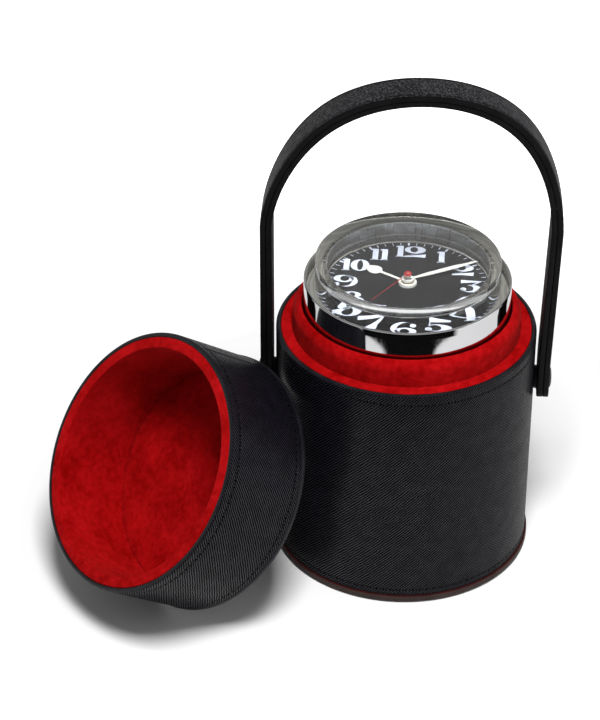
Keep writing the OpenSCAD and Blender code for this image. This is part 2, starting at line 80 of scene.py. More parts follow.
class Graph:  # the nodes that feed a material or the world
    def __init__(self, tree):
        self.tree = tree

    def add(self, kind, settings=None, inputs=(), out=0):
        node = self.tree.nodes.new("ShaderNode" + kind)
        for key, value in (settings or {}).items():
            setattr(node, key, value)
        pairs = inputs.items() if isinstance(inputs, dict) else enumerate(inputs)
        for key, value in pairs:
            self.feed(node.inputs[key], value)
        return Wire(self, node.outputs[out])

    def feed(self, socket, value):
        if isinstance(value, Wire):
            self.tree.links.new(value.socket, socket)
        elif socket.type == "RGBA" and len(value) == 3:
            socket.default_value = (*value, 1)
        else:
            socket.default_value = value

    def place(self):  # object coordinates in millimetres
        where = self.add("TexCoord", out=3)
        return self.add("VectorMath", {"operation": "SCALE"}, {"Vector": where, "Scale": 1 / mm})

    def reach(self):  # distance from the origin in millimetres
        return self.add("VectorMath", {"operation": "LENGTH"}, [self.place()], 1)

    def flat(self):  # the piece's own map, which is in millimetres along its surface
        return self.add("UVMap", {"uv_map": "length"})

    def split(self, vector):
        node = self.add("SeparateXYZ", None, [vector]).socket.node
        return [Wire(self, socket) for socket in node.outputs]

    def noise(self, where, scale, detail=3, rough=0.55):
        inputs = {"Vector": where, "Scale": scale, "Detail": detail, "Roughness": rough}
        return self.add("TexNoise", None, inputs)

    def mix(self, low, high, share):
        return self.add("Mix", {"data_type": "RGBA"}, {0: share, 6: low, 7: high}, 2)

    def between(self, value, low, high, toLow=0.0, toHigh=1.0):  # carries one range onto another, clamped
        return self.add("MapRange", None, [value, low, high, toLow, toHigh])

    def bump(self, height, depth):  # depth in millimetres
        return self.add("Bump", None, {"Height": height, "Distance": depth * mm, "Strength": 1.0})


class Finish(Graph):  # one material and its Principled shader
    def __init__(self, name, **constants):
        self.material = bpy.data.materials.new(name)
        self.material.use_nodes = True
        super().__init__(self.material.node_tree)
        self.shader = self.tree.nodes["Principled BSDF"]
        self.give(**constants)

    def give(self, **links):
        for socket, value in links.items():
            self.feed(self.shader.inputs[socket.replace("_", " ")], value)

    def grained(self, dark, light, tone, grain, smooth, dull, depth):  # tone colours it, grain roughens it
        self.give(Base_Color=self.mix(dark, light, tone), Normal=self.bump(grain, depth),
                  Roughness=self.between(grain, 0.3, 0.7, smooth, dull))
        return self

    def join(self, kind, before, after):  # the Principled shader and another one reach the surface together
        both = self.add(kind, None, [*before, Wire(self, self.shader.outputs[0]), after])
        self.tree.links.new(both.socket, self.tree.nodes["Material Output"].inputs["Surface"])


def linear(*shade):  # a colour as 0-255 screen values
    return tuple((c / 255 / 12.92) if c < 11 else ((c / 255 + 0.055) / 1.055) ** 2.4 for c in shade)


# Surfaces


def linked(name, data):  # a new object in the scene
    thing = bpy.data.objects.new(name, data)
    bpy.context.scene.collection.objects.link(thing)
    return thing


def gridFaces(rows, columns):  # corner numbers of a grid's quads
    first = (np.arange(rows - 1)[:, None] * columns + np.arange(columns - 1)).ravel()
    return np.stack([first, first + columns, first + columns + 1, first + 1], axis=1)


# Grids of points become one mesh. Points that coincide are welded, which closes seams and poles. A patch
# that is whole closes by itself, the others together, and what has a negative volume is turned inside out.
def makePiece(name, patches, body, replaced=(), sharp=38):
    verts, quads, uvs, marks, looks, groups = [], [], [], [], [], []
    count = 0
    for k, patch in enumerate(patches):
        points, uv, look = patch["points"], patch.get("uv"), patch["look"]
        points = points[None] if points.ndim == 3 else points
        copies, rows, columns = points.shape[:3]
        if uv is None:
            uv = np.zeros((rows, columns, 2))
        uv = np.broadcast_to(uv, (copies, rows, columns, 2))
        one = gridFaces(rows, columns)
        many = (one[None] + (np.arange(copies) * rows * columns)[:, None, None]).reshape(-1, 4)
        if look not in looks:
            looks.append(look)
        verts.append(points.reshape(-1, 3))
        uvs.append(uv.reshape(-1, 2))
        quads.append(many + count)
        marks.append(np.full(len(many), looks.index(look)))
        groups.append(np.full(len(many), k + 1 if patch.get("whole") else 0))
        count += copies * rows * columns
    verts, uvs, quads, marks, groups = (np.concatenate(a) for a in (verts, uvs, quads, marks, groups))
    _, first, where = np.unique(np.round(verts / 2e-7).astype(np.int64), axis=0, return_index=True,
                                return_inverse=True)
    corners = where.ravel()[quads]
    a, b, c, d = (verts[quads[:, k]] for k in range(4))
    volume = np.bincount(groups, (a * (np.cross(b, c) + np.cross(c, d))).sum(1))
    inward = volume[groups] < 0
    corners[inward], quads[inward] = corners[inward, ::-1], quads[inward, ::-1]
    live = corners != np.roll(corners, 1, axis=1)
    good = live.sum(1) > 2
    live, corners, quads, marks = live[good], corners[good], quads[good], marks[good]
    size = live.sum(1)
    mesh = bpy.data.meshes.new(name)
    mesh.vertices.add(len(first))
    mesh.loops.add(int(size.sum()))
    mesh.polygons.add(len(size))
    mesh.vertices.foreach_set("co", verts[first].astype(np.float32).ravel())
    mesh.loops.foreach_set("vertex_index", corners[live].astype(np.int32))
    mesh.polygons.foreach_set("loop_start", (np.cumsum(size) - size).astype(np.int32))
    mesh.polygons.foreach_set("material_index", marks.astype(np.int32))
    mesh.polygons.foreach_set("use_smooth", np.ones(len(size), bool))
    layer = mesh.uv_layers.new(name="length")
    layer.uv.foreach_set("vector", uvs[quads][live].astype(np.float32).ravel())
    mesh.update(calc_edges=True)
    mesh.validate()
    mesh.set_sharp_from_angle(angle=math.radians(sharp))
    for look in looks:
        mesh.materials.append(look.material)
    piece = linked(name, mesh)
    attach(piece, body)
    if replaced:
        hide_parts(*replaced)


def vertsOf(node):  # a node's corners in millimetres
    mesh = nodes[node].data
    co = np.empty(len(mesh.vertices) * 3, np.float32)
    mesh.vertices.foreach_get("co", co)
    return co.reshape(-1, 3).astype(float) / mm


class Place:  # an origin and three axes in rows; round pieces turn about the third
    def __init__(self, origin, axes):
        self.origin = np.array(origin, float)
        self.axes = np.array(axes, float)

    def world(self, points):
        return (points @ self.axes + self.origin) * mm

    def local(self, points):
        return (points - self.origin) @ self.axes.T

    def ring(self, node):  # inner and outer radius, low and high end of a round node
        p = self.local(vertsOf(node))
        r = np.hypot(p[:, 0], p[:, 1])
        return r.min(), r.max(), p[:, 2].min(), p[:, 2].max()


def arc(across, up, radius, start, end, count=8):  # points on a circle, angles in degrees
    t = np.radians(np.linspace(start, end, count + 1))
    return np.stack([across + radius * np.cos(t), up + radius * np.sin(t)], axis=1)


def closed(grid):  # both ends of a grid of points drawn together at their middles, unless they meet
    if np.allclose(grid[0], grid[-1]):
        return grid
    caps = [np.broadcast_to(grid[k].mean(0), grid[k].shape)[None] for k in (0, -1)]
    return np.concatenate([caps[0], grid, caps[1]])


def heading(angle):  # a direction in plan, and the one to its left
    return np.array([[math.cos(angle), math.sin(angle)], [-math.sin(angle), math.cos(angle)]])


def outline(*parts, step=None):  # joins points and arcs, and cuts long straight runs into steps
    points = np.concatenate([np.atleast_2d(np.array(p, float)) for p in parts])
    if step is None:
        return points
    runs = []
    for a, b in zip(points[:-1], points[1:]):
        pieces = max(1, int(np.hypot(*(b - a)) / step))
        runs.append(a + (b - a) * np.arange(pieces)[:, None] / pieces)
    return np.concatenate([*runs, points[-1:]])


# Each point (r, z) of a profile goes round the axis as (r cos t, r sin t, z).
# shift(t, r, z) may move r and z. The map is round the wall and along the profile, or the plan if flat.
def revolve(profile, steps, place, look, shift=None, flat=False, wide=None, start=0):
    turn = np.linspace(0, 2 * np.pi, steps + 1)[:, None]
    r, z = (np.broadcast_to(profile[:, k], (steps + 1, len(profile))) for k in (0, 1))
    if shift:
        r, z = shift(turn, r, z)
    points = np.stack([r * np.cos(turn), r * np.sin(turn), z + 0 * turn], axis=2)
    points[-1] = points[0]
    if flat:
        uv = points[..., :2]
    else:
        along = start + np.concatenate([[0], np.cumsum(np.hypot(*np.diff(profile, axis=0).T))])
        wide = wide or profile[:, 0].max()
        uv = np.stack(np.broadcast_arrays(turn * wide, along), axis=2)
    return {"points": place.world(points), "uv": uv, "look": look}


# A piece of one or more profiles turned round a place's axis, each with its finish
def makeTurned(name, place, node, body, lines, steps, shift=None, flat=False, sharp=38):
    patches = [revolve(line, steps, place, look, shift, flat) for line, look in lines]
    makePiece(name, patches, body, [node], sharp)


# One stitch, a capsule that lies along x: half length times s, thinner to its ends as sqrt(1 - s^4)
def stitchShape(length, wide, high):
    s = np.linspace(-1, 1, 7)[:, None]
    t = np.linspace(0, 2 * np.pi, 7)[None]
    body = np.sqrt(1 - s ** 4) / 2
    grid = np.stack([length / 2 * s + 0 * t, wide * body * np.cos(t), high * body * np.sin(t)], axis=2)
    grid[:, -1] = grid[:, 0]
    return grid


# Stitches at points on a surface, each along its own direction, with the surface's outward normal
def sew(points, along, outward, thread, place, look):
    lean = math.radians(thread["lean"])
    across = np.cross(outward, along)
    ahead = along * math.cos(lean) + across * math.sin(lean)
    axes = np.stack([ahead, np.cross(outward, ahead), outward], axis=1)
    shape = stitchShape(thread["length"], thread["wide"], thread["high"])
    grid = np.einsum("mnc,kcd->kmnd", shape, axes) + points[:, None, None]
    return {"points": place.world(grid), "look": look, "whole": True}


def roundStitches(radius, z, count, thread, place, look):
    t = (np.arange(count) + 0.5) * 2 * np.pi / count
    out = np.stack([np.cos(t), np.sin(t), 0 * t], axis=1)
    along = np.stack([-np.sin(t), np.cos(t), 0 * t], axis=1)
    return sew(out * radius + [0, 0, z], along, out, thread, place, look)


upright = Place([0, 0, 0], np.eye(3))


def lidPlace():  # the lid's own axes, from the slide that lifts it and from its leather
    axis = -np.array(joints["lid_lift"]["axis"], float)
    axis /= np.linalg.norm(axis)
    level = np.array([-axis[1], axis[0], 0]) / np.hypot(axis[0], axis[1])
    axes = np.array([level, np.cross(axis, level), axis])
    seen = vertsOf("lid_leather") @ axes.T
    middle = (seen.min(0) + seen.max(0)) / 2
    middle[2] = seen[:, 2].min()
    return Place(middle @ axes, axes)


lidFrame = lidPlace()
print("lid's mouth at", lidFrame.origin.round(2))

# Finishes

# dark is the leather's own black; light is the painted sheen colour that the ridges take
leatherLook = {"pitch": 0.95, "dark": linear(1, 1, 2), "light": linear(56, 53, 64), "depth": 0.09,
               "shine": 0.02, "wax": 1.15, "waxRough": 0.3}
suedeLook = {"deep": (0.2, 0.0005, 0.0007), "bright": (0.42, 0.005, 0.007), "fibre": 0.12}


# Two sets of slanted pressed lines cross: ridge = s1^2.2 (0.5 + 0.5 s2), where s1 and s2 are 0.5 + 0.5 sin
# of u - v and of u + v, plus a noise that makes each line wander, and wider noises fade it in places.
# Only the ridges carry the wax that shines, and their lighter base colour is painted sheen.
def crossGrain(name):
    look = leatherLook
    finish = Finish(name, Specular_IOR_Level=look["shine"], Coat_Roughness=look["waxRough"])
    at = finish.flat()
    u, v, _ = finish.split(at)
    drift = finish.noise(at, 0.35, 2)
    k = 2 * math.pi / look["pitch"] / math.sqrt(2)
    first = ((u - v) * k + drift * 6).math("SINE") * 0.5 + 0.5
    second = ((u * 0.97 + v) * k - drift * 5).math("SINE") * 0.5 + 0.5
    ridge = (first ** 2.2) * (second * 0.5 + 0.5)
    patchy = finish.between(finish.noise(at, 0.16, 3), 0.3, 0.7, 0.7, 1)
    speck = finish.between(finish.noise(at, 2.2, 2), 0.3, 0.7, 0.75, 1)
    tone = ridge * patchy * speck
    # Painted sheen: the ridges' base colour goes over to the light colour
    finish.give(Base_Color=finish.mix(look["dark"], look["light"], tone ** 1.5),
                Roughness=finish.between(ridge, 0, 1, 0.6, 0.45), Coat_Weight=tone * look["wax"],
                Normal=finish.bump(ridge, look["depth"]))
    return finish


# Fine pebbles: a cell pattern with its edges pressed in, and tone from two noises
def pebbleGrain(name, dark, light):
    finish = Finish(name, Specular_IOR_Level=0.2)
    at = finish.flat()
    cells = finish.add("TexVoronoi", {"feature": "F1"}, {"Vector": at, "Scale": 1.25, "Randomness": 0.9})
    patchy = finish.noise(at, 0.25, 3)
    fine = finish.noise(at, 2.5, 3)
    tone = finish.between(cells, 0.1, 0.6, 1, 0) * 0.6 + fine * 0.4
    finish.give(Base_Color=finish.mix(dark, light, finish.between(tone, 0.3, 0.85)),
                Roughness=finish.between(patchy, 0.3, 0.7, 0.46, 0.6),
                Normal=finish.bump(tone, 0.09))
    return finish


# Painted edge: a nearly even colour that noise lifts and dulls a little
def edgePaint(name, dark, light, rough, shine):
    finish = Finish(name, Specular_IOR_Level=shine)
    at = finish.place()
    grain = finish.noise(at, 2.4, 4)
    tone = finish.between(finish.noise(at, 0.12, 3) * 0.6 + grain * 0.4, 0.35, 0.65)
    return finish.grained(dark, light, tone, grain, rough - 0.06, rough + 0.1, 0.03)


# Suede: short fibres as fine noise, brushed patches as wide noise, and a little sheen from the nap
def suede(name, deep, bright):
    finish = Finish(name, Specular_IOR_Level=0.02, Sheen_Weight=0.08, Sheen_Roughness=0.5,
                    Sheen_Tint=(0.9, 0.12, 0.1), Roughness=0.95)
    at = finish.place()
    nap = finish.noise(at, 0.06, 3, 0.6)
    mottle = finish.noise(at, 0.4, 4)
    fibre = finish.noise(at, 3.2, 4, 0.7)
    tone = nap * 0.35 + mottle * 0.3 + fibre * 0.35
    finish.give(Base_Color=finish.mix(deep, bright, finish.between(tone, 0.4, 0.62)),
                Normal=finish.bump(fibre + mottle * 0.6, suedeLook["fibre"]))
    return finish


# Metal: a broad noise shades it a little, and a fine one, drawn out along the streak's weak axis, roughens it
def metal(name, shade, rough, spread=0.05, streak=(1, 1, 1), depth=0.004):
    finish = Finish(name, Metallic=1.0)
    at = finish.place()
    fine = finish.noise(finish.add("Mapping", None, {"Vector": at, "Scale": streak}), 1.5, 4, 0.6)
    tone = finish.noise(at, 0.08, 2)
    return finish.grained([c * 0.93 for c in shade], shade, tone, fine, rough, rough + spread, depth)


# Plastic, paint and print: the same with a stronger broad noise and no streak
def plastic(name, shade, rough, grain, depth, shine=0.45):
    finish = Finish(name, Specular_IOR_Level=shine)
    at = finish.place()
    tone = finish.between(finish.noise(at, 0.1, 3), 0.3, 0.7)
    fine = finish.noise(at, grain, 3)
    return finish.grained([c * 0.86 for c in shade], shade, tone, fine, rough - 0.05, rough + 0.1, depth)


# Rings left by turning: noise of the distance from the axis alone, a little shifted from place to place
def turned(name, dark, light):
    finish = Finish(name, Specular_IOR_Level=0.3, Metallic=0.2)
    wander = finish.noise(finish.place(), 0.06, 2) * 4
    across = finish.add("CombineXYZ", None, [finish.reach() * 3 + wander, 0.0, 0.0])
    rings = finish.noise(across, 1.0, 4)
    return finish.grained(dark, light, finish.between(rings, 0.3, 0.7), rings, 0.35, 0.5, 0.01)


# Pressed board: pulp flecks over a grey brown
def board(name, dark, light):
    finish = Finish(name, Specular_IOR_Level=0.2, Roughness=0.9)
    at = finish.place()
    flecks = finish.add("TexVoronoi", {"feature": "F1"}, {"Vector": at, "Scale": 1.3})
    pulp = finish.noise(at, 0.9, 5, 0.65)
    finish.give(Base_Color=finish.mix(dark, light, finish.between(pulp + flecks * 0.15, 0.4, 0.75)),
                Normal=finish.bump(pulp, 0.08))
    return finish


# Clear moulded acrylic; shadow rays go through, so that the dial under it is lit
def acrylic(name):
    finish = Finish(name, Transmission_Weight=1.0, IOR=1.49, Base_Color=(0.97, 0.98, 0.98))
    at = finish.place()
    wear = finish.noise(at, 0.6, 4)
    finish.give(Roughness=finish.between(wear, 0.45, 0.7, 0.0, 0.012))
    clear = finish.add("BsdfTransparent", None, {"Color": (0.9, 0.91, 0.91, 1)})
    light = finish.add("LightPath", out=1)
    finish.join("MixShader", [light], clear)
    return finish


blackLeather = crossGrain("blackLeather")
strapLeather = pebbleGrain("strapLeather", linear(8, 8, 10), linear(78, 76, 80))
strapBack = pebbleGrain("strapBack", linear(2, 2, 3), linear(9, 9, 11))
strapEdge = edgePaint("strapEdge", linear(2, 2, 3), linear(12, 12, 14), 0.7, 0.2)
# Black edge paint, coloured lighter than the paint itself as a painted highlight along the rims and edges
blackEdgeAndHighlight = edgePaint("blackEdgeAndHighlight", linear(8, 8, 10), linear(28, 28, 32), 0.4, 0.2)
baseEdge = edgePaint("baseEdge", linear(40, 30, 28), linear(62, 50, 46), 0.6, 0.15)
baseLip = edgePaint("baseLip", linear(38, 15, 15), linear(60, 24, 23), 0.6, 0.1)
seamBlack = edgePaint("seamBlack", linear(1, 1, 1), linear(5, 5, 6), 0.75, 0.05)
threadBlack = edgePaint("threadBlack", linear(2, 2, 3), linear(14, 14, 16), 0.5, 0.2)
redSuede = suede("redSuede", suedeLook["deep"], suedeLook["bright"])
polishedSteel = metal("polishedSteel", (0.62, 0.62, 0.63), 0.02, 0.05, (1, 1, 0.25), 0.0012)
turnedRing = turned("turnedRing", (0.13, 0.12, 0.105), (0.6, 0.58, 0.54))
brushedSteel = metal("brushedSteel", (0.5, 0.49, 0.47), 0.22, 0.2, (1, 1, 0.12), 0.02)
plainSteel = metal("plainSteel", (0.56, 0.57, 0.58), 0.3, 0.15)
castWeight = metal("castWeight", (0.24, 0.24, 0.25), 0.55, 0.2, depth=0.06)
brass = metal("brass", (0.78, 0.6, 0.3), 0.22, 0.12)
nickel = metal("nickel", (0.66, 0.65, 0.62), 0.25, 0.12)
rivetBlack = metal("rivetBlack", (0.06, 0.06, 0.065), 0.3, 0.12)
crystalClear = acrylic("crystalClear")
dialBlack = plastic("dialBlack", linear(24, 23, 24), 0.55, 6, 0.006, 0.12)
printWhite = plastic("printWhite", linear(192, 197, 211), 0.5, 6, 0.004, 0.1)
handWhite = plastic("handWhite", linear(198, 196, 190), 0.45, 2, 0.006, 0.15)
handRed = plastic("handRed", linear(150, 34, 32), 0.4, 2, 0.006, 0.15)
housingWhite = plastic("housingWhite", linear(236, 235, 230), 0.42, 2, 0.03)
boardGrey = board("boardGrey", linear(112, 104, 92), linear(150, 141, 126))
feltDark = board("feltDark", linear(30, 29, 28), linear(52, 50, 48))


# Enamelled wire wound round the coil's own axis: a sine across it makes the turns
def windings(name):
    finish = Finish(name, Metallic=0.9, Roughness=0.3)
    u, _, _ = finish.split(finish.place())
    turns = (u * (2 * math.pi / 0.25)).math("SINE") * 0.5 + 0.5
    finish.give(Base_Color=finish.mix((0.22, 0.07, 0.02), (0.62, 0.24, 0.09), turns),
                Normal=finish.bump(turns, 0.06))
    return finish


# Lacquered board with tracks where a cell pattern's edges run
def tracks(name):
    finish = Finish(name, Specular_IOR_Level=0.5, Roughness=0.35)
    at = finish.place()
    cells = finish.add("TexVoronoi", {"feature": "DISTANCE_TO_EDGE"}, {"Vector": at, "Scale": 0.35})
    path = finish.between(cells, 0.04, 0.07, 1, 0)
    finish.give(Base_Color=finish.mix((0.02, 0.11, 0.04), (0.1, 0.3, 0.11), path),
                Normal=finish.bump(path, 0.03))
    return finish


# Printed wrap of the cell: a bright band near one end, plain otherwise
def cellWrap(name):
    finish = Finish(name, Metallic=0.3, Roughness=0.35)
    at = finish.place()
    u, _, _ = finish.split(at)
    band = finish.between(u, 12, 12.3)
    worn = finish.noise(at, 0.8, 3)
    finish.give(Base_Color=finish.mix((0.05, 0.06, 0.07), (0.42, 0.28, 0.1), band),
                Normal=finish.bump(worn, 0.01))
    return finish


copperWire = windings("copperWire")
circuitGreen = tracks("circuitGreen")
cellPaper = cellWrap("cellPaper")

kept = {
    feltDark: ["base_pad"],
    boardGrey: ["bottom_board", "case_wall", "neck_board", "seat_tube", "floor_board", "lid_wall",
                "lid_board"],
    rivetBlack: ["handle_rivets"],
    brass: ["rivet_washers", "plate_screws", "cover_screws", "hour_wheel", "motion_wheel"],
    strapBack: ["strap_spacers"],
    castWeight: ["ballast"],
    nickel: ["cannon_pinion"],
    plainSteel: ["seat_ring", "dial_plate", "stator", "quartz_can", "battery_contacts", "seconds_arbor"],
    dialBlack: ["dial"],
    housingWhite: ["movement_case", "movement_cover", "drive_module", "setting_knob"],
    copperWire: ["coil"],
    circuitGreen: ["circuit_board"],
    cellPaper: ["battery"],
}
for finish, names in kept.items():
    for name in names:
        for slot in nodes[name].material_slots:
            slot.material = finish.material
print("finishes made,", len(bpy.data.materials), "materials")

# Camera, lights and floor

# The photograph's view: where the camera stands in metres, its turns in radians and its lens.
cameraView = {"at": (0, -0.86066, 0.65504), "down": 0.5878, "yaw": -0.0497, "roll": 0.0038,
              "focalPixels": 2539.1, "framePixels": 720, "riseShift": 0.0028}


def pose(side, up, back, at):  # a matrix from three directions and a place
    rows = np.stack([side, up, back, at], axis=1)
    return Matrix([*rows.tolist(), [0, 0, 0, 1]])


def makeCamera(view):
    down, yaw, roll = view["down"], view["yaw"], view["roll"]
    ahead = np.array([math.sin(yaw) * math.cos(down), math.cos(yaw) * math.cos(down), -math.sin(down)])
    right = np.array([math.cos(yaw), -math.sin(yaw), 0])
    up = np.cross(right, ahead)
    data = bpy.data.cameras.new("camera")
    data.sensor_width = 36
    data.lens = view["focalPixels"] / view["framePixels"] * data.sensor_width
    data.shift_y = view["riseShift"]
    camera = linked("camera", data)
    camera.matrix_world = pose(right * math.cos(roll) + up * math.sin(roll),
                               up * math.cos(roll) - right * math.sin(roll), -ahead, view["at"])
    bpy.context.scene.camera = camera


lighting = {"ambient": 0.21, "horizon": 0.85, "ceiling": 0.34, "horizonAt": 0.1, "ceilingAt": 0.45}
lamps = [
    {"name": "topSoftbox", "at": (0.06, -0.5, 1.3), "aim": (-0.02, -0.01, 0.06), "size": (0.36, 0.36),
     "power": 22.5, "mirrored": False},
    {"name": "rightSoftbox", "at": (1.1, -0.1, 0.6), "aim": (0, 0, 0.07), "size": (0.5, 0.9),
     "power": 2.5, "mirrored": True},
]


def makeLamp(lamp):
    data = bpy.data.lights.new(lamp["name"], "AREA")
    data.shape = "RECTANGLE"
    data.size, data.size_y = lamp["size"]
    data.energy = lamp["power"]
    light = linked(lamp["name"], data)
    light.visible_glossy = lamp["mirrored"]
    back = np.array(lamp["at"]) - lamp["aim"]
    back /= np.linalg.norm(back)
    side = np.cross([0, 1, 0], back)
    side /= np.linalg.norm(side)
    light.matrix_world = pose(side, np.cross(back, side), back, lamp["at"])


# Reflections see a bright horizon under a dim ceiling, matt surfaces an even grey, and the camera white:
# strength = ambient for diffuse rays, otherwise from horizon to ceiling between two heights of the ray
def makeSky(c):
    world = bpy.data.worlds.new("studio")
    bpy.context.scene.world = world
    world.use_nodes = True
    sky = Graph(world.node_tree)
    _, _, height = sky.split(sky.add("TexCoord"))
    mirrored = sky.between(height, c["horizonAt"], c["ceilingAt"], c["horizon"], c["ceiling"])
    strength = mirrored + (c["ambient"] - mirrored) * sky.add("LightPath", out=2)
    seen = sky.add("LightPath", out=0)
    back = sky.tree.nodes["Background"]
    sky.feed(back.inputs["Color"], (1, 1, 1))
    sky.feed(back.inputs["Strength"], strength + (1 - strength) * seen)


def flatSheet(name, corners, height, material):
    mesh = bpy.data.meshes.new(name)
    mesh.from_pydata([(x, y, height) for x, y in corners], [], [list(range(len(corners)))])
    mesh.materials.append(material)
    sheet = linked(name, mesh)
    return sheet


floorLook = {"shade": 0.8, "mottle": 0.02, "half": 6, "fadeFrom": 160, "fadeTo": 300}


# Pale paper that takes the object's shadow; for the camera it fades to white between two distances in mm
def makeFloor(c):
    floor = Finish("floorPaper", Specular_IOR_Level=0.05, Roughness=0.95)
    paper = floor.noise(floor.place(), 0.02, 2)
    floor.give(Base_Color=floor.mix([c["shade"]] * 3, [c["shade"] + c["mottle"]] * 3, paper))
    white = floor.between(floor.reach(), c["fadeFrom"], c["fadeTo"])
    seen = floor.add("LightPath", out=0)
    floor.join("AddShader", [], floor.add("Emission", None, {"Color": white, "Strength": seen}))
    half = c["half"]
    flatSheet("floor", [(-half, -half), (half, -half), (half, half), (-half, half)], 0, floor.material)


cardShape = {"aside": 0.09, "half": 0.47, "flare": 0.75, "flareFrom": 195, "flareTo": 225, "near": 0.188,
             "far": 0.6, "left": -150, "right": -15, "lift": 0.0004}


# A black card on the floor in front that only reflections see, from where the leather's reflections end.
# Its half width as a tangent is half plus flare times the sixth power of the way from flareFrom to flareTo.
def makeCard(c):
    dark = Finish("blackCard", Base_Color=(0.004, 0.004, 0.004), Roughness=0.9, Specular_IOR_Level=0.0)
    x, y, _ = dark.split(dark.place())
    half = dark.between(dark.reach(), c["flareFrom"], c["flareTo"]) ** 6 * c["flare"] + c["half"]
    aside = (x / (0 - y) - c["aside"]).math("ABSOLUTE") / half
    dark.give(Alpha=dark.between(aside, 0.84, 1.05, 1, 0))
    rims = outline(arc(0, 0, c["near"], c["left"], c["right"], 27),
                   arc(0, 0, c["far"], c["right"], c["left"], 27))
    card = flatSheet("blackCard", rims.tolist(), c["lift"], dark.material)
    card.visible_camera = card.visible_diffuse = card.visible_shadow = card.visible_transmission = False


makeCamera(cameraView)
for lamp in lamps:
    makeLamp(lamp)
makeSky(lighting)
makeFloor(floorLook)
makeCard(cardShape)
bpy.context.scene.view_settings.view_transform = "Standard"
cycles = bpy.context.scene.cycles  # the crystal needs long light paths
cycles.max_bounces = cycles.transmission_bounces = cycles.glossy_bounces = 24
print("camera, lights and floor made")

# Case

thread = {"length": 2.3, "wide": 0.75, "high": 0.6, "lean": 6, "pitch": 2.95}
coverShape = {"edge": 1.1, "foot": 0.4, "lip": 0.45, "rimRow": 4.4, "footRow": 2.7, "endRow": 2.6,
              "strip": 0.36, "groove": 0.34, "grooveWide": 0.4, "seam": 0.3, "seamWide": 0.35, "seamRow": 3.0,
              "seamFoot": 6, "seamTop": 7, "perStitch": 6}


def dip(distance, width):  # a groove's depth across it, as a bell curve
    return np.exp(-(distance / width) ** 2)


def beat(turn):  # a groove's depth along it, least between two stitches
    return 0.8 + 0.2 * np.cos(turn)


# Leather between two heights, with stitches and a dark pressed strip in each row. Its radius is the leather's
# less a bell-shaped groove at each row, deeper where the thread goes in, and less the butt seam at the back.
def leatherWall(c, place, outer, low, high, rows, seamLow):
    count = round(2 * math.pi * outer / thread["pitch"])
    steps = count * c["perStitch"]

    def shift(turn, r, z):
        depth = sum(dip(z - row, c["grooveWide"]) for row in rows) * beat(turn * count)
        away = (np.mod(turn + math.pi / 2, 2 * math.pi) - math.pi) * outer
        seam = c["seam"] * dip(away, c["seamWide"]) * (z > seamLow) * (z < high - 0.05)
        return r - c["groove"] * depth - seam, z

    ends = [low, *[row + side * c["strip"] for row in rows for side in (-1, 1)], high]
    fine = [row + np.arange(-7, 8) * 0.13 for row in rows]
    patches = []
    for k, (a, b) in enumerate(zip(ends[:-1], ends[1:])):
        z = np.unique(np.concatenate([np.arange(a, b, 3), [a + 0.1, b - 0.1], *fine]).round(3))
        z = np.array([a, *z[(z > a + 0.01) & (z < b - 0.01)], b])
        look = seamBlack if k % 2 else blackLeather
        strip = np.stack([np.full(len(z), outer), z], axis=1)
        patches.append(revolve(strip, steps, place, look, shift, wide=outer, start=a - low))
    for row in rows:
        patches.append(roundStitches(outer - c["groove"] * 0.7, row, count, thread, place, threadBlack))
    return patches, steps


# The wall, then a quarter circle at the rim, half of it leather and half painted edge lightened as a painted
# highlight, which goes on to the foot. A straight row of stitches stands beside the seam.
def makeCaseLeather(c):
    inner, outer, low, high = upright.ring("case_leather")
    edge, foot, lip = c["edge"], c["foot"], c["lip"]
    rows = [low + c["footRow"], high - c["rimRow"]]
    patches, steps = leatherWall(c, upright, outer, low + foot, high - edge, rows, low + 0.5)
    bevel = arc(outer - edge, high - edge, edge, 0, 90, 8)
    patches.append(revolve(bevel[:5], steps, upright, blackLeather, wide=outer, start=high - low))
    rim = outline(bevel[4:], [inner + lip, high], arc(inner + lip, high - lip, lip, 90, 180, 4),
                  [inner, low], arc(outer - foot, low + foot, foot, -90, 0, 4))
    patches.append(revolve(rim, steps, upright, blackEdgeAndHighlight, wide=outer))
    down = np.arange(low + c["seamFoot"], high - c["seamTop"], thread["pitch"])
    angle = math.pi / 2 + c["seamRow"] / outer
    out = np.tile([*heading(angle)[0], 0], (len(down), 1))
    up = np.tile([0, 0, 1.0], (len(down), 1))
    patches.append(sew(out * (outer + 0.02) + up * down[:, None], up, out, thread, upright, threadBlack))
    makePiece("caseSkin", patches, "case", ["case_leather"])


suedeShape = {"thick": 0.7, "wave": 0.07, "fall": 60, "tuck": 12, "under": 3, "ringSoft": 0.45,
              "rimCrown": 0.12, "mouthCrown": 0.1, "floorSoft": 0.3, "lidFloorSoft": 0.5, "steps": 240}


def softWave(turn):  # slow unevenness round a lining, in share of the wave's height
    return np.sin(3 * turn + 0.4) * 0.5 + np.sin(7 * turn + 2.1) * 0.3 + np.sin(13 * turn + 1.2) * 0.2


def makeSuede(name, place, node, body, line, steps, shift=None):
    makeTurned(name, place, node, body, [(line, redSuede)], steps, shift)


# A flat end and a crowned end: quarter circles at both corners and a rise between them; side is 1 or -1
def ringProfile(inner, outer, flat, crown, soft, rise, side):
    return outline([outer, flat], arc(outer - soft, crown - side * soft, soft, 0, 90 * side, 6),
                   [(inner + outer) / 2, crown + side * rise],
                   arc(inner + soft, crown - side * soft, soft, 90 * side, 180 * side, 6),
                   [inner, flat], [outer, flat])


